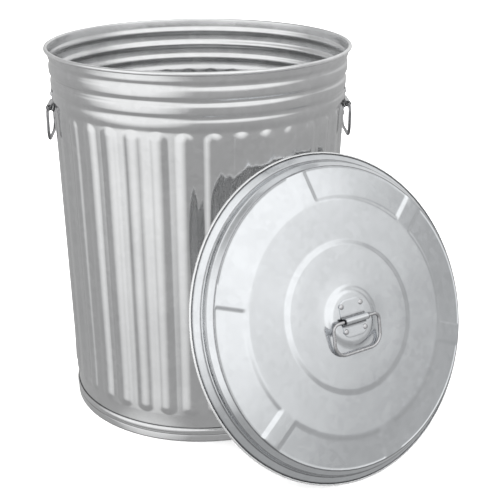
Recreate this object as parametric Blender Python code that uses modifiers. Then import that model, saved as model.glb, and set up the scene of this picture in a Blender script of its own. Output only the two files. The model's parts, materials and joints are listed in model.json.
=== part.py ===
"""Galvanised steel waste can with fluted sides, two drop bails and a loose lid leaning against it.

Metres, +Z up. The origin is on the floor, under the middle of the can and its lid together.
The can's own numbers are measured from its axis, and the lid's from the plane of its open edge.
"""

import math

import bmesh
import bpy
from mathutils import Vector

OBJECT_NAME = "waste_can"

# ---- driving dimensions -------------------------------------------------------------------------
SHEET = 0.0009                 # thickness of the can's sheet steel
LID_SHEET = 0.0007
GAP = 0.0003                   # clearance kept between touching pieces
STEPS = 72                     # facets round every turned piece

CAN_AXIS = (-0.0922, 0.0951)   # where the can stands, so that the origin is under the middle of the set
CAN_HEIGHT = 0.661
RIM_RADIUS = 0.269             # outside of the rolled rim
CURL_RADIUS = 0.0035           # outside radius of the rim's roll
RIM_WIRE = 0.0018              # radius of the wire inside it

TAPER = 0.0246                 # gain in wall radius per metre of height
WALL_LEVEL_Z = 0.4745          # height at which the wall's mean radius is stated
WALL_LEVEL_RADIUS = 0.2528
FOOT_RADIUS = 0.2425           # outside of the plain foot of the wall
FOOT_EDGE_Z = 0.004
FOOT_TOP_Z = 0.040

FLUTES = 36
FLUTE_RISE = 0.0015            # how far a rib stands above the mean wall, and a land lies below it
FIRST_RIB = math.radians(4.2)  # turn from the front to the nearest rib, towards +X
FLUTE_BOTTOM_Z = (0.052, 0.062)
FLUTE_TOP_Z = (0.552, 0.561)

GROOVE_PITCH = 0.026
LOWEST_GROOVE_Z = 0.585
GROOVE_HALF_WIDTH = 0.0055
GROOVE_RISES = (0.0019, 0.0019, 0.0036)    # groove floors above the mean wall, lowest groove first
BULGE_RISES = (0.0030, 0.0043, 0.0054)     # the bulge under each groove, lowest first

BOTTOM_Z = 0.021               # top of the raised bottom
BOTTOM_CORNER = 0.003
BOTTOM_FLANGE_Z = 0.013        # its short flange reaches down to here
RING_HEIGHT = 0.027
RING_WALL = 0.0013
RING_BEAD = 0.0013             # how far the ring's bead stands out
RING_BEAD_Z = 0.0205
RING_BEAD_FOOT_Z = 0.0145

LID_SWING = 0.5451             # the way the lid faces, turned from the front towards +X
LID_LEAN = 0.3731              # how far its face looks up from level
LID_OFFSET = (0.2133, -0.2847)  # centre of its open edge from the can's axis
HEM_RADIUS = 0.2742            # outside of the lid's hem
HEM_CURL = 0.0021              # outside radius of the hem's roll
HEM_WIRE = 0.0009
BOSS_TOP = 0.0505              # the lid's highest face above its open edge
SPOKES = 6
SPOKE_ANGLE = math.radians(39.2)
SPOKE_HALF_ANGLE = math.radians(4.1)
SPOKE_RISE = 0.0040            # how far a spoke stands above the recessed panels
PANEL_RING = (0.195, 0.247)    # radii between which the panels and spokes lie

PLATE_HALF_WIDTH = 0.024
PLATE_UP = 0.034               # the plate's reach above the knuckle's axis
PLATE_DOWN = 0.028
PLATE_THICKNESS = 0.0012
PLATE_CORNER = 0.014
KNUCKLE_RISE = 0.0072          # from the plate's back to the knuckle's axis
KNUCKLE_RADIUS = 0.0055
KNUCKLE_BORE = 0.0034
KNUCKLE_HALF_LENGTH = 0.0262
WEB_HALF_WIDTHS = (0.0082, 0.0044)         # of the metal that carries the knuckle, root and top
BAIL_WIRE = 0.0029             # radius of the bail's wire
BAIL_HALF_WIDTH = 0.047
BAIL_DROP = 0.054              # from the pivot to the middle of the grip
BAIL_END = 0.010               # where the wire's ends lie inside the knuckle
BAIL_SHOULDER = 0.011          # radius of the bend beside the knuckle
BAIL_CORNER = 0.014            # radius of the bend beside the grip
RIVET_PLACES = ((-0.0195, 0.0240), (0.0195, 0.0240), (-0.0195, -0.0170), (0.0195, -0.0170))
RIVET_SHANK = 0.0019
RIVET_HOLE = 0.0023
RIVET_HEAD = 0.0046
RIVET_HEAD_HEIGHT = 0.0020
RIVET_TAIL = 0.0034
RIVET_TAIL_HEIGHT = 0.0012

SIDE_HANDLE_Z = 0.552
SIDE_PLATE_RADIUS = 0.2576     # plate's back from the can's axis, at the knuckle's height
SIDE_PLATE_TILT = math.radians(3.6)
SIDE_GRIPS = (0.0033, 0.0046)  # plate's back to the rivet's tail, upper and lower rivets
LID_PIVOT_Y = -0.004           # the knuckle's axis below the lid's centre
LID_BAIL_TILT = math.radians(10.5)
LID_GRIPS = (LID_SHEET + 2 * GAP, LID_SHEET + 2 * GAP)

CAN_STEEL = (0.62, 0.63, 0.64)
LID_STEEL = (0.70, 0.72, 0.74)
WIRE_STEEL = (0.55, 0.56, 0.57)


# ---- helpers ------------------------------------------------------------------------------------
def clear_scene():
    for thing in list(bpy.data.objects):
        bpy.data.objects.remove(thing, do_unlink=True)


def new_collection(name):
    collection = bpy.data.collections.new(name)
    bpy.context.scene.collection.children.link(collection)
    return collection


def new_material(name, colour, roughness):
    material = bpy.data.materials.new(name)
    material.use_nodes = True
    shader = material.node_tree.nodes["Principled BSDF"]
    shader.inputs["Base Color"].default_value = (*colour, 1.0)
    shader.inputs["Roughness"].default_value = roughness
    shader.inputs["Metallic"].default_value = 1.0
    return material


def add_object(name, data, collection, parent, location=(0, 0, 0), rotation=(0, 0, 0)):
    thing = bpy.data.objects.new(name, data)
    collection.objects.link(thing)
    thing.parent = parent
    thing.location = location
    thing.rotation_euler = rotation
    return thing


def add_part(name, mesh, parent, colour, location=(0, 0, 0), roughness=0.35):
    mesh.materials.clear()
    mesh.materials.append(new_material(name, colour, roughness))
    mesh.shade_smooth()
    mesh.set_sharp_from_angle(angle=math.radians(40))
    return add_object(name, mesh, parts, parent, location)


def mesh_of(name, shape):
    """Turn a finished bmesh into mesh data, and free it."""
    mesh = bpy.data.meshes.new(name)
    shape.to_mesh(mesh)
    shape.free()
    return mesh


def turned_mesh(profile, closed=False, steps=STEPS):
    """Turn an outline of (radius, height) points, given down its outer side, about Z."""
    outline = bmesh.new()
    points = [outline.verts.new((radius, 0, height)) for radius, height in profile]
    followers = points[1:] + points[:1] if closed else points[1:]
    for first, second in zip(points, followers):
        outline.edges.new((first, second))
    holder = add_object("outline", mesh_of("outline", outline), parts, None)
    screw = holder.modifiers.new("Screw", "SCREW")
    screw.steps = steps
    screw.render_steps = steps
    screw.use_merge_vertices = True
    screw.merge_threshold = 0.00005
    graph = bpy.context.evaluated_depsgraph_get()
    turned = bpy.data.meshes.new_from_object(holder.evaluated_get(graph), depsgraph=graph)
    bpy.data.objects.remove(holder, do_unlink=True)
    return turned


def thicken(sheet, thickness):
    """Give an open sheet its thickness on its inner side."""
    solid = sheet.modifiers.new("Solidify", "SOLIDIFY")
    solid.thickness = thickness
    solid.offset = -1.0


def roll(centre, radius, start, end, count):
    """Points along a bend seen in section, between two angles in degrees."""
    angles = [math.radians(start + (end - start) * i / (count - 1)) for i in range(count)]
    return [(centre[0] + radius * math.cos(a), centre[1] + radius * math.sin(a)) for a in angles]


def add_ring_wire(name, parent, radius, height, thickness):
    bpy.ops.mesh.primitive_torus_add(
        major_segments=STEPS, minor_segments=4, major_radius=radius, minor_radius=thickness)
    torus = bpy.context.object
    mesh = torus.data.copy()
    bpy.data.objects.remove(torus, do_unlink=True)
    add_part(name, mesh, parent, WIRE_STEEL, (0, 0, height))


def add_cutter(name, mesh, parent, location=(0, 0, 0), rotation=(0, 0, 0)):
    cutter = add_object(name, mesh, cutters, parent, location, rotation)
    cutter.hide_render = True
    cutter.display_type = "WIRE"
    return cutter


def rod_mesh(name, radius, length, sides):
    rod = bmesh.new()
    bmesh.ops.create_cone(
        rod, cap_ends=True, segments=sides, radius1=radius, radius2=radius, depth=length)
    return mesh_of(name, rod)


def combine(thing, cutter, operation):
    boolean = thing.modifiers.new(cutter.name, "BOOLEAN")
    boolean.object = cutter
    boolean.operation = operation
    boolean.solver = "EXACT"


# ---- the can ------------------------------------------------------------------------------------
def mean_wall_radius(height):
    return WALL_LEVEL_RADIUS + TAPER * (height - WALL_LEVEL_Z)


def groove_points():
    """Three points for each groove, its two edges and its floor, from the top groove down."""
    points = []
    for i in reversed(range(len(GROOVE_RISES))):
        middle = LOWEST_GROOVE_Z + i * GROOVE_PITCH
        above = BULGE_RISES[min(i + 1, len(BULGE_RISES) - 1)]
        section = ((GROOVE_HALF_WIDTH, above), (0, GROOVE_RISES[i]), (-GROOVE_HALF_WIDTH, BULGE_RISES[i]))
        for offset, rise in section:
            points.append((mean_wall_radius(middle + offset) + rise, middle + offset))
    return points


def wall_profile():
    """The wall's outer face, from the free end of its rim roll down to its foot."""
    curl_centre = (RIM_RADIUS - CURL_RADIUS, CAN_HEIGHT - CURL_RADIUS)
    curl = roll(curl_centre, CURL_RADIUS - SHEET, -120, 180, 6)
    lowest_bulge_z = LOWEST_GROOVE_Z - GROOVE_PITCH / 2
    lowest_bulge = [(mean_wall_radius(lowest_bulge_z) + BULGE_RISES[0], lowest_bulge_z)]
    heights = (*reversed(FLUTE_TOP_Z), *reversed(FLUTE_BOTTOM_Z))
    fluted = [(mean_wall_radius(height), height) for height in heights]
    foot = [(FOOT_RADIUS, FOOT_TOP_Z), (FOOT_RADIUS, FOOT_EDGE_Z)]
    return curl + groove_points() + lowest_bulge + fluted + foot


def raise_flutes(mesh):
    """Move the flutes' points out on the ribs and in on the lands between them."""
    for vertex in mesh.vertices:
        if FLUTE_BOTTOM_Z[1] - GAP < vertex.co.z < FLUTE_TOP_Z[0] + GAP:
            angle = math.atan2(vertex.co.x, -vertex.co.y)
            outwards = Vector((vertex.co.x, vertex.co.y, 0)).normalized()
            vertex.co -= outwards * FLUTE_RISE * math.cos(FLUTES * angle)


def add_can_wall(can):
    mesh = turned_mesh(wall_profile())
    raise_flutes(mesh)
    wall = add_part("can_wall", mesh, can, CAN_STEEL)
    thicken(wall, SHEET)
    return wall


def add_can_bottom(can):
    """The raised bottom, a pan turned upside down inside the foot of the wall."""
    outside = FOOT_RADIUS - SHEET - GAP
    profile = [(0, BOTTOM_Z), (outside - BOTTOM_CORNER, BOTTOM_Z), (outside, BOTTOM_Z - BOTTOM_CORNER),
               (outside, BOTTOM_FLANGE_Z)]
    bottom = add_part("can_bottom", turned_mesh(profile), can, CAN_STEEL)
    thicken(bottom, SHEET)


def add_base_ring(can):
    """The hoop round the foot, with one rolled bead near its top."""
    inside = FOOT_RADIUS + GAP
    outside = inside + RING_WALL
    profile = [(inside, RING_HEIGHT), (outside, RING_HEIGHT), (outside + RING_BEAD, RING_BEAD_Z),
               (outside, RING_BEAD_FOOT_Z), (outside, 0), (inside, 0)]
    add_part("base_ring", turned_mesh(profile, closed=True), can, CAN_STEEL)


# ---- the lid ------------------------------------------------------------------------------------
def lid_profile():
    """The lid's outer face, from the middle of its boss to the free end of its hem."""
    face = [(0, BOSS_TOP), (0.0455, BOSS_TOP), (0.0490, 0.0445), (0.1205, 0.0435), (0.1240, 0.0400),
            (0.1930, 0.0390), (0.1970, 0.0345), (0.2455, 0.0295)]
    shoulder = [(0.2500, 0.0275), (0.2560, 0.0235), (0.2590, 0.0185)]
    skirt = [(0.2600, 0.0120), (0.2625, 0.0110), (0.2703, 0.0040)]
    hem_centre = (HEM_RADIUS - HEM_CURL, HEM_CURL)
    hem = roll(hem_centre, HEM_CURL - LID_SHEET, 180, 475, 6)
    return face + shoulder + skirt + hem


def raise_spokes(mesh, first_spoke):
    """Lift the points of the panel ring that lie on a spoke."""
    pitch = math.tau / SPOKES
    for vertex in mesh.vertices:
        radius = math.hypot(vertex.co.x, vertex.co.y)
        angle = (math.atan2(vertex.co.y, vertex.co.x) - first_spoke) % pitch
        on_spoke = min(angle, pitch - angle) < SPOKE_HALF_ANGLE
        if on_spoke and PANEL_RING[0] < radius < PANEL_RING[1]:
            vertex.co.z += SPOKE_RISE


def add_lid(lid):
    """The lid's sheet is turned a little in its frame, so that two facet edges lie on each spoke."""
    facet = math.tau / STEPS
    first_spoke = (round(SPOKE_ANGLE / facet) - 0.5) * facet
    turned = add_object("lid_turned", None, parts, lid, rotation=(0, 0, SPOKE_ANGLE - first_spoke))
    mesh = turned_mesh(lid_profile())
    raise_spokes(mesh, first_spoke)
    pan = add_part("lid_pan", mesh, turned, LID_STEEL)
    thicken(pan, LID_SHEET)
    add_ring_wire("lid_hem_wire", turned, HEM_RADIUS - HEM_CURL, HEM_CURL, HEM_WIRE)
    return pan


# ---- the drop handles, alike on both sides and on the lid ---------------------------------------
def plate_mesh(name):
    plate = bmesh.new()
    bmesh.ops.create_cube(plate, size=1)
    for vertex in plate.verts:
        vertex.co.x *= 2 * PLATE_HALF_WIDTH
        vertex.co.y = PLATE_UP if vertex.co.y > 0 else -PLATE_DOWN
        vertex.co.z = PLATE_THICKNESS if vertex.co.z > 0 else 0
    corners = [e for e in plate.edges if e.verts[0].co.xy == e.verts[1].co.xy]
    bmesh.ops.bevel(plate, geom=corners, offset=PLATE_CORNER, segments=5, profile=0.5,
                    affect="EDGES", material=-1)
    return mesh_of(name, plate)


def web_mesh(name):
    """The stamped metal that carries the knuckle out from the plate."""
    web = bmesh.new()
    bmesh.ops.create_cube(web, size=1)
    for vertex in web.verts:
        root = vertex.co.z < 0
        vertex.co.x *= 2 * PLATE_HALF_WIDTH - PLATE_THICKNESS
        vertex.co.y = math.copysign(WEB_HALF_WIDTHS[0 if root else 1], vertex.co.y)
        vertex.co.z = PLATE_THICKNESS / 2 if root else KNUCKLE_RISE
    return mesh_of(name, web)


def add_plate(name, frame, colour):
    """The stamped ear, its back on the frame's z = 0 and its knuckle along x."""
    plate = add_part(name, plate_mesh(name), frame, colour)
    knuckle = rod_mesh(name + "_knuckle", KNUCKLE_RADIUS, 2 * KNUCKLE_HALF_LENGTH, 16)
    bore = rod_mesh(name + "_bore", KNUCKLE_BORE, 4 * KNUCKLE_HALF_LENGTH, 16)
    axis = (0, 0, KNUCKLE_RISE)
    along_x = (0, math.pi / 2, 0)
    combine(plate, add_cutter(name + "_web", web_mesh(name + "_web"), frame), "UNION")
    combine(plate, add_cutter(name + "_knuckle", knuckle, frame, axis, along_x), "UNION")
    combine(plate, add_cutter(name + "_bore", bore, frame, axis, along_x), "DIFFERENCE")
    return plate


def bail_route():
    """The wire's middle line in the pivot's own plane, from one hidden end to the other."""
    shoulder = (BAIL_HALF_WIDTH - BAIL_SHOULDER, -BAIL_SHOULDER)
    corner = (BAIL_HALF_WIDTH - 0.002 - BAIL_CORNER, BAIL_CORNER - BAIL_DROP)
    right = [(BAIL_END, 0), (KNUCKLE_HALF_LENGTH + 2 * BAIL_WIRE, 0)]
    right += roll(shoulder, BAIL_SHOULDER, 75, 0, 4) + roll(corner, BAIL_CORNER, 0, -90, 5)
    return right + [(-x, y) for x, y in reversed(right)]


def add_bail(name, pivot):
    curve = bpy.data.curves.new(name, "CURVE")
    curve.dimensions = "3D"
    curve.bevel_depth = BAIL_WIRE
    curve.bevel_resolution = 2
    curve.render_resolution_u = 0
    curve.use_fill_caps = True
    route = bail_route()
    spline = curve.splines.new("POLY")
    spline.points.add(len(route) - 1)
    for point, (x, y) in zip(spline.points, route):
        point.co = (x, y, 0, 1)
    curve.materials.append(new_material(name, WIRE_STEEL, 0.25))
    add_object(name, curve, parts, pivot)


def rivet_mesh(grip):
    """Head, shank and tail; z = 0 is the plate's back, and the tail starts at -grip."""
    seat = PLATE_THICKNESS + GAP
    crown = seat + RIVET_HEAD_HEIGHT
    profile = [(0, crown), (RIVET_HEAD / 2, crown - RIVET_HEAD_HEIGHT / 6), (RIVET_HEAD, seat),
               (RIVET_SHANK, seat), (RIVET_SHANK, -grip), (RIVET_TAIL, -grip),
               (RIVET_TAIL / 2, -grip - RIVET_TAIL_HEIGHT), (0, -grip - RIVET_TAIL_HEIGHT)]
    return turned_mesh(profile, steps=10)


def add_handle(side, frame, sheet, bail_tilt, grips, colour):
    """Plate, four rivets through it and the sheet behind it, and the bail in its knuckle."""
    plate = add_plate(side + "_handle_plate", frame, colour)
    for i, (x, y) in enumerate(RIVET_PLACES, start=1):
        drill_name = f"{side}_rivet_hole_{i}"
        drill = add_cutter(drill_name, rod_mesh(drill_name, RIVET_HOLE, 0.030, 12), frame, (x, y, 0))
        combine(plate, drill, "DIFFERENCE")
        combine(sheet, drill, "DIFFERENCE")
        grip = grips[0] if y > 0 else grips[1]
        add_part(f"{side}_handle_rivet_{i}", rivet_mesh(grip), frame, WIRE_STEEL, (x, y, 0))
    pivot = add_object(side + "_bail_pivot", None, parts, frame, (0, 0, KNUCKLE_RISE), (bail_tilt, 0, 0))
    add_bail(side + "_handle_bail", pivot)


# ---- the whole object ---------------------------------------------------------------------------
def build_can():
    """Each rib of the wall lies on a facet edge, so the turned pieces are turned to the first rib."""
    stand = add_object("can_stand", None, parts, None, (*CAN_AXIS, 0))
    facet = math.tau / STEPS
    turn = FIRST_RIB - facet
    can = add_object("can_turned", None, parts, stand, rotation=(0, 0, turn))
    wall = add_can_wall(can)
    add_ring_wire("rim_wire", can, RIM_RADIUS - CURL_RADIUS, CAN_HEIGHT - CURL_RADIUS, RIM_WIRE)
    add_can_bottom(can)
    add_base_ring(can)
    for side, turn in (("left", -math.pi / 2), ("right", math.pi / 2)):
        facing = add_object(side + "_facing", None, parts, stand, rotation=(0, 0, turn))
        frame = add_object(side + "_handle_frame", None, parts, facing,
                           (0, -SIDE_PLATE_RADIUS, SIDE_HANDLE_Z), (math.pi / 2 + SIDE_PLATE_TILT, 0, 0))
        add_handle(side, frame, wall, -SIDE_PLATE_TILT, SIDE_GRIPS, CAN_STEEL)


def lid_height():
    """Height of the middle of the lid's open edge when its hem stands on the floor."""
    to_roll = (HEM_RADIUS - HEM_CURL) * math.cos(LID_LEAN)
    return to_roll + HEM_CURL * (1 - math.sin(LID_LEAN))


def build_lid():
    place = (CAN_AXIS[0] + LID_OFFSET[0], CAN_AXIS[1] + LID_OFFSET[1], lid_height())
    lid = add_object("lid_frame", None, parts, None, place, (math.pi / 2 - LID_LEAN, 0, LID_SWING))
    pan = add_lid(lid)
    frame = add_object("lid_handle_frame", None, parts, lid, (0, LID_PIVOT_Y, BOSS_TOP + GAP))
    add_handle("lid", frame, pan, LID_BAIL_TILT, LID_GRIPS, LID_STEEL)


clear_scene()
parts = new_collection(OBJECT_NAME)
cutters = new_collection(OBJECT_NAME + "_cutters")
build_can()
build_lid()
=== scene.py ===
"""Galvanised waste can with a loose lid: fine sheet-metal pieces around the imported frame.

Metres, +Z up, in the frame's own axes. The can's pieces are made about its upright axis and the
lid's pieces in the plane of its open edge, and each is then put in its place in the frame.
"""

import json
import math

import bmesh
import bpy
from bpy.props import FloatProperty, FloatVectorProperty, IntProperty, PointerProperty
from mathutils import Matrix, Vector


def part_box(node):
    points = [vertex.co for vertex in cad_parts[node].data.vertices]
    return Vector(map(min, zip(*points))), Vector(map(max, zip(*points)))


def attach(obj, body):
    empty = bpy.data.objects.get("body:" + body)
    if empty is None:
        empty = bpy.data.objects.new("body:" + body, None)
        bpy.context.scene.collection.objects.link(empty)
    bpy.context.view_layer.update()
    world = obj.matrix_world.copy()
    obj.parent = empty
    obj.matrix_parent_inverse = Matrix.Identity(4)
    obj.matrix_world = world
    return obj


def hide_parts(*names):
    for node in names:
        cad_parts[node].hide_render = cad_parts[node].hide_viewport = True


bl_info = {
    "name": "Galvanised Waste Can",
    "version": (1, 0, 0),
    "blender": (4, 5, 0),
    "location": "View3D > Sidebar > Waste Can",
    "description": "Builds a fluted galvanised can, its stepped lid, drop handles and studio",
    "category": "Object",
}

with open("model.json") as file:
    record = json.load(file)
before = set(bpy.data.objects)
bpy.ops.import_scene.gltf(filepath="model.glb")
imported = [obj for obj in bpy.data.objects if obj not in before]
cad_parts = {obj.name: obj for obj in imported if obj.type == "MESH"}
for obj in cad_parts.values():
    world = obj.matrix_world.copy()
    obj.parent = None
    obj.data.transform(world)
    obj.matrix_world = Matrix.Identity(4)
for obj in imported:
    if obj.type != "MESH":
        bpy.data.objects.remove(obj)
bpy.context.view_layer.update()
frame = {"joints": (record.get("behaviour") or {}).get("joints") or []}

# ---- places read from the frame -----------------------------------------------------------------
FULL_TURN = math.tau
UP = Vector((0, 0, 1))
JOINTS = {joint["name"]: joint for joint in frame["joints"]}
WALL_LOW, WALL_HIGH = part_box("can_wall")
RING_LOW, RING_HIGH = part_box("base_ring")
CAN_AXIS = Vector(((RING_LOW.x + RING_HIGH.x) / 2, (RING_LOW.y + RING_HIGH.y) / 2, 0))
RIM_RADIUS = (WALL_HIGH.x - WALL_LOW.x) / 2
CAN_TOP = WALL_HIGH.z
KNUCKLE_RISE = 0.0072          # from a handle plate's back to the wire's axis
LAND_SHARE = 0.47              # of a rib's depth, how much lies inside the mean wall
PLATE_GAP = 0.0003             # between a handle plate and the sheet it is riveted to
SIDE_PLATE_TILT = math.radians(3.6)
LID_BAIL_TILT = math.radians(10.5)


def basis(across, up, out, place):
    """A frame from its three axes and its origin."""
    turn = Matrix((across, up, out)).transposed().to_4x4()
    return Matrix.Translation(place) @ turn


def tilted(place, angle):
    """The same frame turned about its own first axis."""
    return place @ Matrix.Rotation(angle, 4, "X")


def side_frame(joint_name):
    """Upright frame on a side bail's pivot, looking out from the can."""
    pivot = Vector(JOINTS[joint_name]["pos_m"])
    out = Vector((math.copysign(1, pivot.x - CAN_AXIS.x), 0, 0))
    return basis(UP.cross(out), UP, out, pivot)


CAN_PLACE = Matrix.Translation(CAN_AXIS)
LID_OUT = Vector(JOINTS["lid_lift_off"]["axis"]).normalized()
LID_ACROSS = -Vector(JOINTS["lid_bail_swing"]["axis"]).normalized()
LID_UP = LID_OUT.cross(LID_ACROSS)
LID_PIVOT = Vector(JOINTS["lid_bail_swing"]["pos_m"])


# ---- sizes and colours that a user would change -------------------------------------------------
def length(name, about, default):
    return FloatProperty(name=name, description=about, default=default, unit="LENGTH", precision=4)


class CanSizes(bpy.types.PropertyGroup):
    """Shape of the can's wall, rim and foot."""
    height: length("Height", "Floor to the top of the rim", CAN_TOP)
    rim_radius: length("Rim radius", "Outside of the rolled rim", RIM_RADIUS)
    curl_radius: length("Rim roll", "Outside radius of the rim's roll", 0.0035)
    level_radius: length("Wall radius", "Mean radius of the wall at the stated height", 0.2528)
    level_height: length("Wall level", "Height at which the wall's mean radius is stated", 0.4745)
    taper: FloatProperty(name="Taper", description="Gain in radius for each metre of height",
                         default=0.0246)
    foot_radius: length("Foot radius", "Outside of the plain foot of the wall", 0.2425)
    sheet: length("Sheet", "Thickness of the can's sheet", 0.0009)
    flutes: IntProperty(name="Flutes", description="Ribs round the wall", default=36, min=6)
    flute_rise: length("Flute depth", "From a land to the crest of a rib", 0.0031)
    flute_share: FloatProperty(name="Rib share", description="Part of the pitch that a rib fills",
                               default=0.667, subtype="FACTOR")
    flute_bottom: length("Flute bottom", "Height of the lower ends of the ribs", 0.052)
    flute_top: length("Flute top", "Height of the upper ends of the ribs", 0.562)
    first_rib: FloatProperty(name="First rib", description="Turn from the front to the nearest rib",
                             default=math.radians(4.2), subtype="ANGLE")
    groove_pitch: length("Groove pitch", "Height between two grooves", 0.026)
    lowest_groove: length("Lowest groove", "Height of the lowest groove", 0.585)
    groove_width: length("Groove width", "Half the width of a groove", 0.0050)


class LidSizes(bpy.types.PropertyGroup):
    """Shape of the lid, measured from the plane of its open edge."""
    hem_radius: length("Hem radius", "Outside of the rolled hem", 0.2742)
    hem_curl: length("Hem roll", "Outside radius of the hem's roll", 0.0021)
    boss_top: length("Boss height", "The highest face above the open edge", 0.0505)
    sheet: length("Sheet", "Thickness of the lid's sheet", 0.0007)
    spokes: IntProperty(name="Spokes", description="Flat spokes between the recessed panels",
                        default=6, min=3)
    spoke_width: length("Spoke width", "Width of a spoke between two panels", 0.025)
    spoke_angle: FloatProperty(name="Spoke angle", description="Turn of the first spoke",
                               default=math.radians(39.2), subtype="ANGLE")
    panel_depth: length("Panel depth", "How deep the panels are pressed in", 0.0021)
    panel_inside: length("Panel inside", "Inner radius of the panels", 0.1915)
    panel_outside: length("Panel outside", "Outer radius of the panels", 0.2480)
    panel_edge: length("Panel edge", "Width of a panel's sloping edge", 0.0080)
    pivot_drop: length("Pivot drop", "The handle's wire below the lid's middle", 0.004)


class HandleSizes(bpy.types.PropertyGroup):
    """Shape of the three riveted drop handles."""
    plate_half_width: length("Plate half width", "Half the width of the plate", 0.024)
    plate_up: length("Plate above", "Reach of the plate above the wire's axis", 0.034)
    plate_down: length("Plate below", "Reach of the plate below the wire's axis", 0.028)
    plate_thickness: length("Plate thickness", "Thickness of the plate", 0.0012)
    plate_corner: length("Plate corner", "Radius of the plate's corners", 0.014)
    knuckle_radius: length("Knuckle radius", "Outside of the roll over the wire", 0.0055)
    wire_radius: length("Wire radius", "Radius of the bail's wire", 0.0029)
    bail_half_width: length("Bail half width", "Half the width of the bail", 0.047)
    bail_drop: length("Bail drop", "From the pivot to the middle of the grip", 0.054)
    rivet_head: length("Rivet head", "Radius of a rivet's head", 0.0046)


class SteelLook(bpy.types.PropertyGroup):
    """Colours and gloss of the galvanised sheet and the zinc plated wire."""
    can_colour: FloatVectorProperty(name="Can", description="Colour of the can's sheet",
                                    default=(0.68, 0.685, 0.69), subtype="COLOR")
    lid_colour: FloatVectorProperty(name="Lid", description="Colour of the lid's sheet",
                                    default=(0.72, 0.74, 0.76), subtype="COLOR")
    wire_colour: FloatVectorProperty(name="Wire", description="Colour of the plated wire",
                                     default=(0.60, 0.60, 0.61), subtype="COLOR")
    can_roughness: FloatProperty(name="Can roughness", description="Gloss of the can",
                                 default=0.14, subtype="FACTOR")
    lid_roughness: FloatProperty(name="Lid roughness", description="Gloss of the lid",
                                 default=0.14, subtype="FACTOR")
    spangle: FloatProperty(name="Spangle", description="How much the zinc's crystals show",
                           default=0.35, subtype="FACTOR")


class StudioLook(bpy.types.PropertyGroup):
    """The floor, the light and the camera."""
    floor_colour: FloatVectorProperty(name="Floor", description="Colour of the floor",
                                      default=(0.9, 0.9, 0.9), subtype="COLOR")
    ambient: FloatProperty(name="Ambient", description="Strength of the light from all round",
                           default=2.8)


GROUPS = {"can_sizes": CanSizes, "lid_sizes": LidSizes, "handle_sizes": HandleSizes,
          "steel_look": SteelLook, "studio_look": StudioLook}


# ---- mesh helpers -------------------------------------------------------------------------------
def blend_step(low, high, value):
    """0 below low, 1 above high, and smooth between them."""
    part = min(max((value - low) / (high - low), 0), 1)
    return part * part * (3 - 2 * part)


def sloping(low, high, value):
    """Like blend_step, with a straighter slope between its two rounded ends."""
    part = min(max((value - low) / (high - low), 0), 1)
    return 0.5 * part + 0.5 * blend_step(low, high, value)


def softened(corners, steps=4):
    """Points along an outline of (radius, height, fillet) corners, each rounded by its fillet."""
    points = []
    for i, (x, y, fillet) in enumerate(corners):
        here = Vector((x, y))
        if fillet <= 0 or i in (0, len(corners) - 1):
            points.append((x, y))
            continue
        before = Vector(corners[i - 1][:2]) - here
        after = Vector(corners[i + 1][:2]) - here
        start = here + before.normalized() * min(fillet, before.length * 0.49)
        end = here + after.normalized() * min(fillet, after.length * 0.49)
        for k in range(steps + 1):
            t = k / steps
            point = start * (1 - t) ** 2 + here * 2 * t * (1 - t) + end * t * t
            points.append((point.x, point.y))
    return points


def bend(centre, radius, start, end, count):
    """Points along an arc between two angles in degrees."""
    angles = [math.radians(start + (end - start) * i / (count - 1)) for i in range(count)]
    return [(centre[0] + radius * math.cos(a), centre[1] + radius * math.sin(a)) for a in angles]


def add_outline(shape, points, closed=False):
    """A chain of edges in the plane of radius and height."""
    verts = [shape.verts.new((x, 0, z)) for x, z in points]
    pairs = list(zip(verts, verts[1:]))
    if closed:
        pairs.append((verts[-1], verts[0]))
    return verts + [shape.edges.new(pair) for pair in pairs]


def turn_outline(points, columns, closed=False, angle=FULL_TURN, start=0.0):
    """Spin an outline about Z, all the way round unless an angle is given."""
    shape = bmesh.new()
    chain = add_outline(shape, points, closed)
    whole = angle == FULL_TURN
    bmesh.ops.rotate(shape, verts=shape.verts, matrix=Matrix.Rotation(start, 3, "Z"))
    bmesh.ops.spin(shape, geom=chain, cent=(0, 0, 0), axis=UP, angle=angle, steps=columns,
                   use_merge=whole)
    tidy_seams(shape)
    return shape


def tidy_seams(shape):
    """Join what meets at the seam and at the axis."""
    bmesh.ops.remove_doubles(shape, verts=shape.verts, dist=1e-6)
    bmesh.ops.dissolve_degenerate(shape, dist=1e-7, edges=shape.edges)


def face_outwards(shape, centre=Vector((0, 0, 0))):
    """Turn an open shell's faces away from its inside."""
    bmesh.ops.recalc_face_normals(shape, faces=shape.faces)
    shape.normal_update()
    outward = sum(face.normal.dot(face.calc_center_median() - centre) * face.calc_area()
                  for face in shape.faces)
    if outward < 0:
        bmesh.ops.reverse_faces(shape, faces=shape.faces)


def finish_piece(name, shape, place, material, body, sharp=40, replaces=(), painted_shade=None):
    """Put a finished shape in its place in the frame and give it to its body.

    A painted-shade rule tells how much painted shade, darkening the colour, a place gets, from 0 to 1,
    in the piece's own axes.
    """
    if painted_shade:
        # Painted shade: how much each vertex's colour is darkened, kept for the materials to read.
        layer = shape.verts.layers.float.new("painted_shade")
        for vertex in shape.verts:
            vertex[layer] = painted_shade(vertex.co)
    shape.transform(place)
    mesh = bpy.data.meshes.new(name)
    shape.to_mesh(mesh)
    shape.free()
    mesh.materials.append(bpy.data.materials[material])
    mesh.shade_smooth()
    mesh.set_sharp_from_angle(angle=math.radians(sharp))
    piece = bpy.data.objects.new(name, mesh)
    bpy.context.scene.collection.objects.link(piece)
    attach(piece, body)
    if replaces:
        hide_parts(*replaces)
    return piece


def near(value, middle, width):
    """1 at the middle and 0 a width away from it."""
    return max(1 - abs(value - middle) / width, 0)


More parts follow.
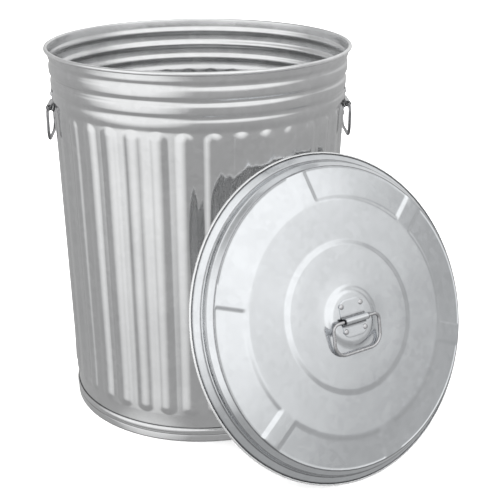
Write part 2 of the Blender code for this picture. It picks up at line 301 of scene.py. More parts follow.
def thicken(piece, thickness, offset=-1.0, inside=None):
    """Give a sheet its thickness, and the named material on its inner face."""
    wall = piece.modifiers.new("Sheet", "SOLIDIFY")
    wall.thickness = thickness
    wall.offset = offset
    wall.use_quality_normals = True
    if inside:
        piece.data.materials.append(bpy.data.materials[inside])
        wall.material_offset = 1


# ---- the can ------------------------------------------------------------------------------------
def wall_radius(sizes, height):
    return sizes.level_radius + sizes.taper * (height - sizes.level_height)


def band_rise(sizes, height):
    """How far the grooved band under the rim stands out from the plain wall."""
    bulge_levels = ((0.5600, 0.0006), (0.5730, 0.0031), (0.5980, 0.0045), (0.6240, 0.0057),
                    (0.6500, 0.0058))
    depths = (0.0019, 0.0031, 0.0021)
    rise = bulge_levels[0][1]
    for (low, below), (high, above) in zip(bulge_levels, bulge_levels[1:]):
        if height > low:
            rise = below + (above - below) * blend_step(low, high, height)
    for i, depth in enumerate(depths):
        off = (height - sizes.lowest_groove - i * sizes.groove_pitch) / sizes.groove_width
        rise -= depth * math.exp(-abs(off) ** 2.6)
    return rise


def band_heights(sizes):
    """Rows of points down the grooved band, close together in the grooves."""
    offsets = (1.9, 1.5, 1.2, 1.0, 0.8, 0.6, 0.4, 0.2, 0, -0.2, -0.4, -0.6, -0.8, -1.0, -1.2, -1.5, -1.9)
    heights = []
    for i in (2, 1, 0):
        middle = sizes.lowest_groove + i * sizes.groove_pitch
        heights += [middle + offset * sizes.groove_width for offset in offsets]
        heights.append(middle - sizes.groove_pitch / 2)
    return heights + [0.568, 0.5645]


def evenly(high, low, count):
    return [high + (low - high) * i / (count - 1) for i in range(count)]


def rib_height(sizes, turn, height):
    """0 on a land and 1 on the crest of a rib, whose two ends are round."""
    pitch = FULL_TURN / sizes.flutes
    off = (turn - sizes.first_rib + pitch / 2) % pitch - pitch / 2
    half = pitch * sizes.flute_share / 2 * sizes.level_radius
    across = abs(off) * sizes.level_radius
    above = max(height - (sizes.flute_top - half), 0)
    below = max(sizes.flute_bottom + half - height, 0)
    away = math.hypot(across, above, below) / half
    return max(1 - away * away, 0)


def rib_stretch(sizes, height):
    """The wall's lands sit back a little where there are ribs, and not above or below them."""
    lower = blend_step(sizes.flute_bottom - 0.004, sizes.flute_bottom + 0.070, height)
    upper = blend_step(sizes.flute_top + 0.002, sizes.flute_top - 0.090, height)
    return lower * upper


def wall_outline(sizes):
    """The wall's outer face from the free end of its rim roll down to its foot."""
    curl_centre = (sizes.rim_radius - sizes.curl_radius, sizes.height - sizes.curl_radius)
    curl = bend(curl_centre, sizes.curl_radius - sizes.sheet, -125, 180, 15)
    band = band_heights(sizes)
    upper_ends = evenly(0.5625, 0.5440, 13)
    between = [0.534, 0.518, 0.498, 0.47, 0.30, 0.12, 0.102, 0.085]
    lower_ends = evenly(0.0710, 0.0500, 12)
    points = curl
    for height in band + upper_ends + between + lower_ends:
        points.append((wall_radius(sizes, height) + band_rise(sizes, height), height))
    foot = [(sizes.foot_radius, 0.044), (sizes.foot_radius, 0.030), (sizes.foot_radius, 0.004)]
    return points + foot


def make_can_wall(sizes):
    columns = sizes.flutes * 12
    shape = turn_outline(wall_outline(sizes), columns)
    first = sizes.first_rib - math.pi / 2
    bmesh.ops.rotate(shape, verts=shape.verts, matrix=Matrix.Rotation(first, 3, "Z"))
    for vertex in shape.verts:
        height = vertex.co.z
        if sizes.flute_bottom - 0.006 < height < sizes.flute_top + 0.004:
            turn = math.atan2(vertex.co.x, -vertex.co.y)
            rib = rib_height(sizes, turn, height)
            rise = sizes.flute_rise * (rib - LAND_SHARE * rib_stretch(sizes, height))
            vertex.co += Vector((vertex.co.x, vertex.co.y, 0)).normalized() * rise
    face_outwards(shape, Vector((0, 0, sizes.height / 2)))
    under_rim = sizes.height - 2 * sizes.curl_radius
    # Painted shade: a dark line round the wall just under the rim's roll.
    wall = finish_piece("can_wall_sheet", shape, CAN_PLACE, "galvanised_can", "can",
                        sharp=60, replaces=("can_wall",),
                        painted_shade=lambda spot: 0.85 * near(spot.z, under_rim, 0.0024))
    thicken(wall, sizes.sheet, inside="galvanised_inside")


def make_rim_wire(sizes):
    centre = (sizes.rim_radius - sizes.curl_radius, sizes.height - sizes.curl_radius)
    shape = turn_outline(bend(centre, 0.0018, 0, 330, 12), 216, closed=True)
    bmesh.ops.recalc_face_normals(shape, faces=shape.faces)
    finish_piece("rim_core_wire", shape, CAN_PLACE, "plated_wire", "can",
                 replaces=("rim_wire",))


def make_bottom(sizes):
    outside = sizes.foot_radius - sizes.sheet - 0.0003
    corners = [(0, 0.0210, 0), (0.150, 0.0210, 0.006), (0.158, 0.0192, 0.006), (0.196, 0.0192, 0.006),
               (0.204, 0.0210, 0.006), (outside, 0.0210, 0.003), (outside, 0.013, 0)]
    shape = turn_outline(softened(corners), 180)
    face_outwards(shape)
    pan = finish_piece("can_bottom_pan", shape, CAN_PLACE, "galvanised_can", "can",
                       replaces=("can_bottom",))
    thicken(pan, sizes.sheet)


def ring_outline(inside, face):
    """Section of the hoop: a fat bead near its top and a shallow groove under it."""
    corners = [(inside, 0.0264, 0.0006), (inside + 0.0007, 0.0270, 0.0006), (face, 0.0262, 0.0008),
               (face, 0.0250, 0.0008), (face + 0.0014, 0.0232, 0.0014), (face + 0.0014, 0.0188, 0.0014),
               (face, 0.0168, 0.0010), (face, 0.0142, 0.0006), (face - 0.0005, 0.0132, 0.0006),
               (face, 0.0122, 0.0006), (face + 0.0002, 0.0016, 0.0010), (face - 0.0004, 0.0, 0.0006),
               (inside, 0.0, 0)]
    return softened(corners, steps=3)


def hoop_painted_shade(spot):
    """Painted shade along the hoop's upper edge and in its groove, and a painted contact shadow where it
    meets the floor.
    """
    return max(0.8 * near(spot.z, 0.0268, 0.0012), 0.6 * near(spot.z, 0.0135, 0.0016),
               0.9 * near(spot.z, 0.0, 0.0022))


def make_base_ring(sizes):
    inside = sizes.foot_radius + 0.0003
    face = inside + 0.0012
    shape = turn_outline(ring_outline(inside, face), 288, closed=True)
    bmesh.ops.recalc_face_normals(shape, faces=shape.faces)
    finish_piece("base_hoop", shape, CAN_PLACE, "galvanised_can", "can",
                 replaces=("base_ring",), painted_shade=hoop_painted_shade)


def make_wall_seam(sizes):
    """The folded seam down the back of the wall, in the land between two ribs."""
    pitch = FULL_TURN / sizes.flutes
    behind = math.pi / 2 + sizes.first_rib + pitch / 2
    half = 0.0042 / sizes.level_radius
    outline = []
    for height in evenly(0.648, 0.031, 160):
        rise = band_rise(sizes, height) if height > 0.56 else 0.0006
        land = sizes.flute_rise * LAND_SHARE * rib_stretch(sizes, height)
        radius = wall_radius(sizes, height)
        if height < 0.05:
            radius = max(radius, sizes.foot_radius)
        outline.append((radius + rise - land + 0.0008, height))
    shape = turn_outline(outline, 6, angle=2 * half, start=behind - half)
    face_outwards(shape)
    seam = finish_piece("wall_lock_seam", shape, CAN_PLACE, "galvanised_can", "can",
                        sharp=60)
    thicken(seam, 0.0010, offset=-0.6)
    edge = seam.modifiers.new("Edge", "BEVEL")
    edge.width = 0.0003
    edge.segments = 2


# ---- the drop handles ---------------------------------------------------------------------------
def plate_section(sizes):
    """The plate's outer face from top to bottom, rolled over the wire: (up, out) points."""
    face = sizes.plate_thickness - KNUCKLE_RISE
    over = sizes.knuckle_radius
    fillet = 0.0032
    side = over * math.cos(math.radians(15))
    top_fillet = bend((side + fillet, face + fillet), fillet, 270, 180, 5)
    bottom_fillet = bend((-side - fillet, face + fillet), fillet, 0, -90, 5)
    arch = bend((0, 0), over, -15, 195, 15)
    flat_top = [(sizes.plate_up - (sizes.plate_up - side - fillet) * i / 8, face) for i in range(8)]
    flat_bottom = [(-side - fillet - (sizes.plate_down - side - fillet) * i / 6, face)
                   for i in range(1, 7)]
    return flat_top + top_fillet + arch + bottom_fillet + flat_bottom


def plate_reach(sizes, across, limit):
    """How far up or down the plate goes at a place across it, with its round corners."""
    into_corner = max(abs(across) - (sizes.plate_half_width - sizes.plate_corner), 0)
    into_corner = min(into_corner, sizes.plate_corner)
    return limit - sizes.plate_corner + math.sqrt(sizes.plate_corner ** 2 - into_corner ** 2)


def shape_plate(shape, sizes, wrap_radius):
    """Round the plate's corners, and wrap all but the knuckle round the wall behind it."""
    clear = sizes.knuckle_radius + 0.004
    for vertex in shape.verts:
        across, up, out = vertex.co
        for limit, sign in ((sizes.plate_up, 1), (sizes.plate_down, -1)):
            if up * sign > clear:
                part = (up * sign - clear) / (limit - clear)
                up = sign * (clear + part * (plate_reach(sizes, across, limit) - clear))
        if wrap_radius:
            share = blend_step(sizes.knuckle_radius * 0.8, clear + 0.004, abs(up))
            out -= across * across / (2 * wrap_radius) * share
        vertex.co = (across, up, out)


def plate_painted_shade(spot):
    """Painted shade along both sides of the knuckle and round its open ends."""
    sizes = bpy.context.scene.handle_sizes
    creases = near(abs(spot.y), sizes.knuckle_radius + 0.0016, 0.0026)
    ends = near(abs(spot.x), sizes.plate_half_width, 0.0022) * (abs(spot.y) < sizes.knuckle_radius)
    return 0.95 * max(creases, ends)


def wire_painted_shade(spot):
    """Painted shade on the flanks of a bail's wire, and most of it beside the knuckle."""
    sizes = bpy.context.scene.handle_sizes
    flank = 1 - min(abs(spot.z) / sizes.wire_radius, 1)
    beside_knuckle = near(abs(spot.x), sizes.plate_half_width + 0.003, 0.008) * (spot.y > -0.004)
    return max(0.85 * flank ** 1.5, 0.9 * beside_knuckle)


def make_plate(side, sizes, place, body, material, wrap_radius):
    shape = bmesh.new()
    half = sizes.plate_half_width
    verts = [shape.verts.new((-half, up, out)) for up, out in plate_section(sizes)]
    edges = [shape.edges.new(pair) for pair in zip(verts, verts[1:])]
    steps = 24
    stops = [-half * math.cos(math.pi * i / steps) for i in range(steps + 1)]
    for here, there in zip(stops, stops[1:]):
        grown = bmesh.ops.extrude_edge_only(shape, edges=edges)["geom"]
        edges = [item for item in grown if isinstance(item, bmesh.types.BMEdge)]
        moved = [item for item in grown if isinstance(item, bmesh.types.BMVert)]
        bmesh.ops.translate(shape, verts=moved, vec=(there - here, 0, 0))
    shape_plate(shape, sizes, wrap_radius)
    face_outwards(shape, Vector((0, 0, -0.1)))
    plate = finish_piece(side + "_stamped_plate", shape, place, material, body, sharp=60,
                         replaces=(side + "_handle_plate",),
                         painted_shade=plate_painted_shade)
    thicken(plate, sizes.plate_thickness)
    edge = plate.modifiers.new("Edge", "BEVEL")
    edge.width = 0.00025
    edge.segments = 2
    edge.limit_method = "ANGLE"
    edge.angle_limit = math.radians(50)


def rivet_outline(sizes, seat, tail):
    """Half section of a rivet, from the top of its dome to the end of its clenched tail."""
    head = sizes.rivet_head
    shank = 0.0019
    corners = [(0, seat + 0.0021, 0), (head * 0.55, seat + 0.0020, 0.0012),
               (head * 0.98, seat + 0.0009, 0.001), (head, seat, 0), (shank, seat, 0),
               (shank, tail, 0), (0.0034, tail, 0), (0.0031, tail - 0.0009, 0.0004),
               (0.0016, tail - 0.0012, 0.0004), (0, tail - 0.0012, 0)]
    return softened(corners)


def make_rivets(side, sizes, place, body, grips, wrap_radius):
    spots = ((-0.0195, 0.0240), (0.0195, 0.0240), (-0.0195, -0.0170), (0.0195, -0.0170))
    for i, (across, up) in enumerate(spots, start=1):
        sag = across * across / (2 * wrap_radius) if wrap_radius else 0
        seat = sizes.plate_thickness - KNUCKLE_RISE - sag
        tail = -KNUCKLE_RISE - grips[0 if up > 0 else 1]
        shape = turn_outline(rivet_outline(sizes, seat, tail), 24)
        bmesh.ops.recalc_face_normals(shape, faces=shape.faces)
        here = place @ Matrix.Translation((across, up, 0))
        finish_piece(f"{side}_dome_rivet_{i}", shape, here, "plated_wire", body, sharp=35,
                     replaces=(f"{side}_handle_rivet_{i}",))


def draw_run(shape, edges, vector):
    """Carry the open end of a wire straight on."""
    grown = bmesh.ops.extrude_edge_only(shape, edges=edges)["geom"]
    moved = [item for item in grown if isinstance(item, bmesh.types.BMVert)]
    bmesh.ops.translate(shape, verts=moved, vec=vector)
    return [item for item in grown if isinstance(item, bmesh.types.BMEdge)]


def draw_bend(shape, edges, centre, angle, steps):
    """Carry the open end of a wire round a bend in its own plane."""
    verts = list({vertex for edge in edges for vertex in edge.verts})
    grown = bmesh.ops.spin(shape, geom=verts + edges, cent=centre, axis=UP, angle=angle, steps=steps)
    return [item for item in grown["geom_last"] if isinstance(item, bmesh.types.BMEdge)]


def make_bail(side, sizes, place, body):
    """The wire handle: one half from inside the knuckle to the middle of the grip, then mirrored."""
    shoulder, corner = 0.010, 0.021
    inside_knuckle = 0.010
    leg_steps = 4
    leg = sizes.bail_drop - shoulder - corner
    half = sizes.bail_half_width
    shape = bmesh.new()
    bmesh.ops.create_circle(shape, cap_ends=False, segments=16, radius=sizes.wire_radius)
    bmesh.ops.rotate(shape, verts=shape.verts, matrix=Matrix.Rotation(math.pi / 2, 3, "Y"))
    bmesh.ops.translate(shape, verts=shape.verts, vec=(inside_knuckle, 0, 0))
    end = list(shape.edges)
    bmesh.ops.contextual_create(shape, geom=end)
    loop = draw_run(shape, end, (half - shoulder - inside_knuckle, 0, 0))
    loop = draw_bend(shape, loop, (half - shoulder, -shoulder, 0), -math.pi / 2, 10)
    for _ in range(leg_steps):
        loop = draw_run(shape, loop, (0, -leg / leg_steps, 0))
    loop = draw_bend(shape, loop, (half - corner, corner - sizes.bail_drop, 0), -math.pi / 2, 10)
    draw_run(shape, loop, (corner - half, 0, 0))
    bmesh.ops.mirror(shape, geom=list(shape.verts) + list(shape.edges) + list(shape.faces),
                     merge_dist=1e-5, axis="X")
    bmesh.ops.remove_doubles(shape, verts=shape.verts, dist=1e-6)
    bmesh.ops.recalc_face_normals(shape, faces=shape.faces)
    finish_piece(side + "_wire_bail", shape, place, "plated_wire", body, sharp=50,
                 replaces=(side + "_handle_bail",), painted_shade=wire_painted_shade)


# ---- the lid ------------------------------------------------------------------------------------
def lid_place():
    """The lid's frame: origin in the middle of its open edge, first axis level, third axis outward."""
    sizes = bpy.context.scene.lid_sizes
    rise = sizes.boss_top + PLATE_GAP + KNUCKLE_RISE
    centre = LID_PIVOT + LID_UP * sizes.pivot_drop - LID_OUT * rise
    return basis(LID_ACROSS, LID_UP, LID_OUT, centre)


def lid_outline(sizes):
    """The lid's outer face at the level of the spokes, from its middle to the end of its hem."""
    top = sizes.boss_top
    corners = [(0, top, 0), (0.0420, top, 0.0040), (0.0496, top - 0.0052, 0.0044),
               (0.1178, top - 0.0068, 0.0020), (0.1256, top - 0.0094, 0.0020),
               (0.1915, top - 0.0110, 0.004), (0.2462, 0.0322, 0.0020), (0.2546, 0.0222, 0.0016),
               (0.2564, 0.0212, 0.0012), (0.2578, 0.0128, 0.0014), (0.2606, 0.0112, 0.0014),
               (0.2696, 0.0042, 0.0012),
               (sizes.hem_radius - 2 * sizes.hem_curl + sizes.sheet, 0.0034, 0)]
    face = softened(corners, steps=4)
    fine_from = 0.18
    rows = []
    for first, second in zip(face, face[1:]):
        rows.append(first)
        gap = math.hypot(second[0] - first[0], second[1] - first[1])
        spacing = 0.0020 if second[0] > fine_from else 0.03
        extra = int(gap / spacing)
        for k in range(1, extra + 1):
            part = k / (extra + 1)
            point = Vector(first).lerp(Vector(second), part)
            rows.append((point.x, point.y))
    hem_centre = (sizes.hem_radius - sizes.hem_curl, sizes.hem_curl)
    return rows + [face[-1]] + bend(hem_centre, sizes.hem_curl - sizes.sheet, 180, 475, 13)


def panel_share(sizes, across, along):
    """1 on the floor of a pressed panel, 0 outside it; across and along are from a spoke's middle."""
    radius = math.hypot(across, along)
    edge = sizes.panel_edge
    from_side = sloping(sizes.spoke_width / 2, sizes.spoke_width / 2 + edge, abs(across))
    from_inside = sloping(sizes.panel_inside, sizes.panel_inside + edge, radius)
    from_outside = sloping(sizes.panel_outside, sizes.panel_outside - edge / 2, radius)
    return from_side * from_inside * from_outside


def press_panels(shape, sizes):
    pitch = FULL_TURN / sizes.spokes
    for vertex in shape.verts:
        radius = math.hypot(vertex.co.x, vertex.co.y)
        if sizes.panel_inside < radius < sizes.panel_outside:
            turn = math.atan2(vertex.co.y, vertex.co.x) - sizes.spoke_angle
            off = (turn + pitch / 2) % pitch - pitch / 2
            share = panel_share(sizes, radius * math.sin(off), radius * math.cos(off))
            vertex.co.z -= sizes.panel_depth * share


def turn_lid(sizes):
    """One sixth of the lid is spun with close columns at the panels' edges, then all six."""
    shape = bmesh.new()
    chain = add_outline(shape, lid_outline(sizes))
    bmesh.ops.rotate(shape, verts=shape.verts, matrix=Matrix.Rotation(sizes.spoke_angle, 3, "Z"))
    pitch = FULL_TURN / sizes.spokes
    panel_far, panel_close = 0.25, 0.19
    flat = sizes.spoke_width / 2 / panel_far
    slope = (sizes.spoke_width / 2 + sizes.panel_edge) / panel_close - flat
    floor = pitch - 2 * (slope + flat)
    stages = ((flat, 2), (slope, 12), (floor, 12), (slope, 12), (flat, 2))
    for angle, steps in stages:
        grown = bmesh.ops.spin(shape, geom=chain, cent=(0, 0, 0), axis=UP, angle=angle, steps=steps)
        chain = grown["geom_last"]
    tidy_seams(shape)
    bmesh.ops.spin(shape, geom=list(shape.verts) + list(shape.edges) + list(shape.faces),
                   cent=(0, 0, 0), axis=UP, angle=FULL_TURN - pitch, steps=sizes.spokes - 1,
                   use_duplicate=True)
    tidy_seams(shape)
    return shape


def lid_painted_shade(place):
    """Painted shade along the hem, round the foot of the skirt and where the shoulder begins, and a
    painted dark line round the hem's outer edge.
    """
    radius = math.hypot(place.x, place.y)
    hem = near(radius, 0.2699, 0.0015) * (place.z > 0.001)
    foot = 0.8 * near(radius, 0.2594, 0.0016)
    ledge = 0.6 * near(radius, 0.2558, 0.0012)
    brow = 0.95 * near(radius, 0.2472, 0.0013) * (place.z > 0.02)
    edge = 0.8 * near(radius, 0.2743, 0.0008)
    return max(hem, foot, ledge, brow, edge)


def make_lid(sizes):
    shape = turn_lid(sizes)
    press_panels(shape, sizes)
    face_outwards(shape, Vector((0, 0, 0.01)))
    lid = finish_piece("lid_sheet_pan", shape, lid_place(), "galvanised_lid", "lid",
                       sharp=60, replaces=("lid_pan",), painted_shade=lid_painted_shade)
    thicken(lid, sizes.sheet, inside="galvanised_underside")


def make_hem_wire(sizes):
    centre = (sizes.hem_radius - sizes.hem_curl, sizes.hem_curl)
    shape = turn_outline(bend(centre, 0.0009, 0, 315, 8), 216, closed=True)
    bmesh.ops.recalc_face_normals(shape, faces=shape.faces)
    finish_piece("hem_core_wire", shape, lid_place(), "plated_wire", "lid",
                 replaces=("lid_hem_wire",))


# ---- materials ----------------------------------------------------------------------------------
def start_metal(name, colour):
    """A metal shader and the place its patterns are read from."""
    material = bpy.data.materials.new(name)
    material.use_nodes = True
    tree = material.node_tree
    shader = tree.nodes["Principled BSDF"]
    shader.inputs["Metallic"].default_value = 1.0
    shader.inputs["Base Color"].default_value = (*colour, 1)
    place = tree.nodes.new("ShaderNodeTexCoord")
    return tree, shader, place.outputs["Object"]


def add_noise(tree, place, scale, detail=3.0, stretch=(1, 1, 1)):
    mapping = tree.nodes.new("ShaderNodeMapping")
    mapping.inputs["Scale"].default_value = stretch
    noise = tree.nodes.new("ShaderNodeTexNoise")
    noise.inputs["Scale"].default_value = scale
    noise.inputs["Detail"].default_value = detail
    tree.links.new(place, mapping.inputs["Vector"])
    tree.links.new(mapping.outputs["Vector"], noise.inputs["Vector"])
    return noise.outputs["Fac"]


def add_spangle(tree, place, scale):
    """The flat crystals of hot-dip zinc, each with its own brightness from 0 to 1."""
    cells = tree.nodes.new("ShaderNodeTexVoronoi")
    cells.inputs["Scale"].default_value = scale
    cells.inputs["Randomness"].default_value = 1.0
    split = tree.nodes.new("ShaderNodeSeparateColor")
    tree.links.new(place, cells.inputs["Vector"])
    tree.links.new(cells.outputs["Color"], split.inputs["Color"])
    return split.outputs["Red"]


def add_range(tree, value, low, high, from_low=0.0, from_high=1.0):
    mapped = tree.nodes.new("ShaderNodeMapRange")
    mapped.inputs["From Min"].default_value = from_low
    mapped.inputs["From Max"].default_value = from_high
    mapped.inputs["To Min"].default_value = low
    mapped.inputs["To Max"].default_value = high
    tree.links.new(value, mapped.inputs["Value"])
    return mapped.outputs["Result"]


def add_math(tree, operation, first, second):
    node = tree.nodes.new("ShaderNodeMath")
    node.operation = operation
    for socket, value in zip(node.inputs, (first, second)):
        if isinstance(value, (int, float)):
            socket.default_value = value
        else:
            tree.links.new(value, socket)
    return node.outputs["Value"]


def add_mix(tree, share, first, second):
    mix = tree.nodes.new("ShaderNodeMix")
    mix.data_type = "RGBA"
    tree.links.new(share, mix.inputs["Factor"])
    for socket, colour in ((mix.inputs["A"], first), (mix.inputs["B"], second)):
        if isinstance(colour, tuple):
            socket.default_value = (*colour, 1)
        else:
            tree.links.new(colour, socket)
    return mix.outputs["Result"]


def add_bump(tree, height, distance, strength=1.0, under=None):
    bump = tree.nodes.new("ShaderNodeBump")
    bump.inputs["Distance"].default_value = distance
    bump.inputs["Strength"].default_value = strength
    tree.links.new(height, bump.inputs["Height"])
    if under is not None:
        tree.links.new(under, bump.inputs["Normal"])
    return bump.outputs["Normal"]


def add_painted_shade(tree, unshaded, grain):
    """Painted shade: the colour darkened in the creases and along edges, a little broken up by the
    grain.
    """
    shade_amount = tree.nodes.new("ShaderNodeAttribute")
    shade_amount.attribute_name = "painted_shade"
    broken = add_math(tree, "MULTIPLY", shade_amount.outputs["Fac"], add_range(tree, grain, 0.75, 1.0, 0.3, 0.6))
    # The near-black colour of the painted shade.
    return add_mix(tree, broken, unshaded, (0.035, 0.035, 0.04))


def tinted(colour, factor):
    return tuple(min(channel * factor, 1.0) for channel in colour)


def make_sheet_metal(name, colour, roughness, spangle, metallic=1.0):
    """Hot-dip galvanised sheet: faint crystals, cloudy zinc, fine scratches and a soft waviness."""
    tree, shader, place = start_metal(name, colour)
    shader.inputs["Metallic"].default_value = metallic
    crystals = add_spangle(tree, place, 95)
    clouds = add_noise(tree, place, 9, 4)
    grain = add_noise(tree, place, 420, 2)
    waves = add_noise(tree, place, 7, 1)
    shade = add_math(tree, "ADD", add_range(tree, crystals, 0, spangle),
                     add_range(tree, clouds, 0, 1 - spangle, 0.3, 0.7))
    painted = add_mix(tree, shade, tinted(colour, 0.93), tinted(colour, 1.06))
    # Painted shade from each piece's rule darkens the sheet's colour.
    tree.links.new(add_painted_shade(tree, painted, grain), shader.inputs["Base Color"])
    gloss = add_math(tree, "ADD", add_range(tree, clouds, roughness - 0.03, roughness + 0.05, 0.3, 0.7),
                     add_range(tree, crystals, -0.02, 0.03))
    tree.links.new(gloss, shader.inputs["Roughness"])
    wavy = add_bump(tree, waves, 0.0009, 0.5)
    tree.links.new(add_bump(tree, grain, 0.00006, 0.35, wavy), shader.inputs["Normal"])


def make_wire_metal(name, colour):
    """Bright zinc plated wire and rivets, a little scuffed."""
    tree, shader, place = start_metal(name, colour)
    scuffs = add_noise(tree, place, 260, 4)
    painted = add_mix(tree, add_range(tree, scuffs, 0, 1, 0.35, 0.65), tinted(colour, 0.86),
                      tinted(colour, 1.08))
    # Painted shade from each piece's rule darkens the wire's colour.
    tree.links.new(add_painted_shade(tree, painted, scuffs), shader.inputs["Base Color"])
    tree.links.new(add_range(tree, scuffs, 0.16, 0.30, 0.3, 0.7), shader.inputs["Roughness"])
    tree.links.new(add_bump(tree, scuffs, 0.0001, 0.25), shader.inputs["Normal"])


# ---- the studio ---------------------------------------------------------------------------------
def make_floor(look):
    shape = bmesh.new()
    bmesh.ops.create_grid(shape, x_segments=2, y_segments=2, size=12)
    mesh = bpy.data.meshes.new("studio_floor")
    shape.to_mesh(mesh)
    shape.free()
    material = bpy.data.materials.new("pale_floor")
    material.use_nodes = True
    shader = material.node_tree.nodes["Principled BSDF"]
    shader.inputs["Base Color"].default_value = (*look.floor_colour, 1)
    shader.inputs["Roughness"].default_value = 0.9
    shader.inputs["Specular IOR Level"].default_value = 0.0
    mesh.materials.append(material)
    floor = bpy.data.objects.new("studio_floor", mesh)
    bpy.context.scene.collection.objects.link(floor)
    floor.visible_glossy = False


def add_ramp(tree, value, stops):
    """Grey levels along a value from 0 to 1, with soft steps between the stops."""
    ramp = tree.nodes.new("ShaderNodeValToRGB")
    ramp.color_ramp.interpolation = "EASE"
    elements = ramp.color_ramp.elements
    while len(elements) > 1:
        elements.remove(elements[0])
    elements[0].position, level = stops[0]
    elements[0].color = (level, level, level, 1)
    for position, level in stops[1:]:
        elements.new(position).color = (level, level, level, 1)
    tree.links.new(value, ramp.inputs["Fac"])
    return ramp.outputs["Color"]


# Each soft box: degrees round from the front, degrees up, half its width in degrees, brightness.
SOFT_BOXES = ((-50, 10, 40, 1.2),
              (30, 45, 45, 1.2),
              (150, 40, 40, 0.8))
SOFT_EDGE = 12
# Brightness round the boxes at each height, from straight down at 0 to straight up at 1.
SURROUND = ((0, 0.4), (0.5, 0.5), (1, 0.4))


def build_world(look):
    """White to the eye, even light on the floor, and three soft boxes for the metal to mirror."""
    world = bpy.data.worlds.new("studio")
    bpy.context.scene.world = world
    world.use_nodes = True
    tree = world.node_tree
    tree.nodes.clear()
    direction = tree.nodes.new("ShaderNodeTexCoord").outputs["Generated"]
    split = tree.nodes.new("ShaderNodeSeparateXYZ")
    tree.links.new(direction, split.inputs["Vector"])
    height = add_range(tree, split.outputs["Z"], 0, 1, -1, 1)
    lit = add_ramp(tree, height, SURROUND)
    for turn, rise, spread, bright in SOFT_BOXES:
        turn, rise = math.radians(turn), math.radians(rise)
        facing = tree.nodes.new("ShaderNodeVectorMath")
        facing.operation = "DOT_PRODUCT"
        tree.links.new(direction, facing.inputs[0])
        facing.inputs[1].default_value = (math.sin(turn) * math.cos(rise),
                                          -math.cos(turn) * math.cos(rise), math.sin(rise))
        outer = math.cos(math.radians(spread + SOFT_EDGE))
        inner = math.cos(math.radians(spread - SOFT_EDGE))
        inside = add_range(tree, facing.outputs["Value"], 0, 1, outer, inner)
        lit = add_mix(tree, inside, lit, (bright, bright, bright))
    mirrored = tree.nodes.new("ShaderNodeBackground")
    tree.links.new(lit, mirrored.inputs["Color"])
    even = tree.nodes.new("ShaderNodeBackground")
    even.inputs["Color"].default_value = (1, 1, 1, 1)
    even.inputs["Strength"].default_value = look.ambient
    rays = tree.nodes.new("ShaderNodeLightPath")
    choose = tree.nodes.new("ShaderNodeMixShader")
    tree.links.new(rays.outputs["Is Glossy Ray"], choose.inputs["Fac"])
    tree.links.new(even.outputs["Background"], choose.inputs[1])
    tree.links.new(mirrored.outputs["Background"], choose.inputs[2])
    output = tree.nodes.new("ShaderNodeOutputWorld")
    tree.links.new(choose.outputs["Shader"], output.inputs["Surface"])


def add_soft_box(name, place, aim, size, power):
    """An area light that the metal doesn't mirror."""
    light = bpy.data.lights.new(name, "AREA")
    light.shape = "RECTANGLE"
    light.size, light.size_y = size
    light.energy = power
    lamp = bpy.data.objects.new(name, light)
    bpy.context.scene.collection.objects.link(lamp)
    lamp.location = place
    lamp.visible_glossy = False
    lamp.rotation_euler = (aim - place).to_track_quat("-Z", "Y").to_euler()


def add_camera():
    """Looking down on the can from the front, a little from its left."""
    lens = bpy.data.cameras.new("studio_camera")
    lens.sensor_width = 36
    lens.lens = 76.2
    camera = bpy.data.objects.new("studio_camera", lens)
    bpy.context.scene.collection.objects.link(camera)
    camera.location = CAN_AXIS + Vector((-0.0183, -1.8670, 0.9842))
    look_down, look_right = 0.3663, 0.0583
    camera.rotation_euler = (math.pi / 2 - look_down, 0, -look_right)
    bpy.context.scene.camera = camera


# ---- operators ----------------------------------------------------------------------------------
class WASTECAN_OT_metals(bpy.types.Operator):
    """Make the galvanised sheets and the plated wire"""
    bl_idname = "wastecan.metals"
    bl_label = "Metals"

    def execute(self, context):
        look = context.scene.steel_look
        make_sheet_metal("galvanised_can", tuple(look.can_colour), look.can_roughness, look.spangle)
        make_sheet_metal("galvanised_lid", tuple(look.lid_colour), look.lid_roughness, look.spangle)
        make_sheet_metal("galvanised_inside", tuple(look.can_colour), look.can_roughness + 0.05,
                         look.spangle, metallic=0.93)
        make_sheet_metal("galvanised_underside", tuple(look.can_colour), look.lid_roughness + 0.1,
                         look.spangle, metallic=0.85)
        make_wire_metal("plated_wire", tuple(look.wire_colour))
        return {"FINISHED"}


class WASTECAN_OT_can(bpy.types.Operator):
    """Make the can's fluted wall, rim wire, bottom, hoop and seam"""
    bl_idname = "wastecan.can"
    bl_label = "Can"

    def execute(self, context):
        sizes = context.scene.can_sizes
        for make in (make_can_wall, make_rim_wire, make_bottom, make_base_ring, make_wall_seam):
            make(sizes)
        return {"FINISHED"}


class WASTECAN_OT_side_handles(bpy.types.Operator):
    """Make the drop handles on the can's two sides"""
    bl_idname = "wastecan.side_handles"
    bl_label = "Side handles"

    def execute(self, context):
        sizes = context.scene.handle_sizes
        for side in ("left", "right"):
            upright = side_frame(side + "_bail_swing")
            plate = tilted(upright, SIDE_PLATE_TILT)
            wrap = (upright.translation - CAN_AXIS).xy.length
            make_plate(side, sizes, plate, "can", "galvanised_can", wrap)
            make_rivets(side, sizes, plate, "can", (0.0033, 0.0046), wrap)
            make_bail(side, sizes, upright, side + "_bail")
        return {"FINISHED"}


class WASTECAN_OT_lid(bpy.types.Operator):
    """Make the lid's stepped sheet with its panels, and the wire in its hem"""
    bl_idname = "wastecan.lid"
    bl_label = "Lid"

    def execute(self, context):
        make_lid(context.scene.lid_sizes)
        make_hem_wire(context.scene.lid_sizes)
        return {"FINISHED"}


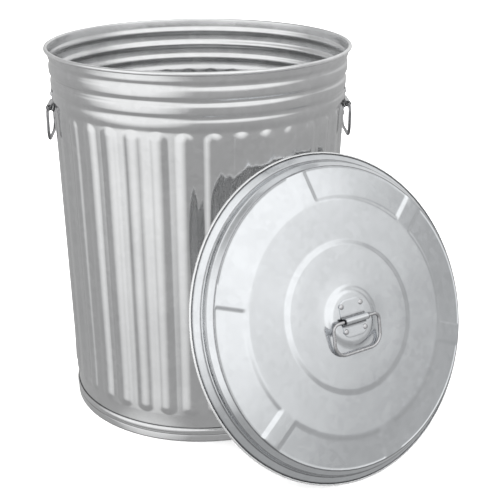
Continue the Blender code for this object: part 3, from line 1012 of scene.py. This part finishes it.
class WASTECAN_OT_lid_handle(bpy.types.Operator):
    """Make the drop handle on the lid"""
    bl_idname = "wastecan.lid_handle"
    bl_label = "Lid handle"

    def execute(self, context):
        sizes = context.scene.handle_sizes
        pivot = basis(LID_ACROSS, LID_UP, LID_OUT, LID_PIVOT)
        grip = context.scene.lid_sizes.sheet + 2 * PLATE_GAP
        make_plate("lid", sizes, pivot, "lid", "galvanised_lid", 0)
        make_rivets("lid", sizes, pivot, "lid", (grip, grip), 0)
        make_bail("lid", sizes, tilted(pivot, LID_BAIL_TILT), "lid_bail")
        return {"FINISHED"}


class WASTECAN_OT_studio(bpy.types.Operator):
    """Make the floor, the light and the camera"""
    bl_idname = "wastecan.studio"
    bl_label = "Studio"

    def execute(self, context):
        look = context.scene.studio_look
        make_floor(look)
        build_world(look)
        middle = CAN_AXIS + UP * 0.3
        add_soft_box("key_box", middle + Vector((-1.6, -1.2, 2.2)), middle, (1.6, 1.2), 12)
        add_camera()
        context.scene.view_settings.view_transform = "Standard"
        return {"FINISHED"}


OPERATORS = (WASTECAN_OT_metals, WASTECAN_OT_can, WASTECAN_OT_side_handles, WASTECAN_OT_lid,
             WASTECAN_OT_lid_handle, WASTECAN_OT_studio)


class WASTECAN_PT_panel(bpy.types.Panel):
    """Lists the can's operators and sizes"""
    bl_label = "Waste Can"
    bl_idname = "WASTECAN_PT_panel"
    bl_space_type = "VIEW_3D"
    bl_region_type = "UI"
    bl_category = "Waste Can"

    def draw(self, context):
        for operator in OPERATORS:
            self.layout.operator(operator.bl_idname)
        for group, kind in GROUPS.items():
            box = self.layout.box()
            for name in kind.__annotations__:
                box.prop(getattr(context.scene, group), name)


def register():
    for kind in (*GROUPS.values(), *OPERATORS, WASTECAN_PT_panel):
        bpy.utils.register_class(kind)
    for name, kind in GROUPS.items():
        setattr(bpy.types.Scene, name, PointerProperty(type=kind))


def unregister():
    for name in GROUPS:
        delattr(bpy.types.Scene, name)
    for kind in reversed((*GROUPS.values(), *OPERATORS, WASTECAN_PT_panel)):
        bpy.utils.unregister_class(kind)


def main():
    register()
    bpy.ops.wastecan.metals()
    bpy.ops.wastecan.can()
    bpy.ops.wastecan.side_handles()
    bpy.ops.wastecan.lid()
    bpy.ops.wastecan.lid_handle()
    bpy.ops.wastecan.studio()


if __name__ == "__main__":
    main()
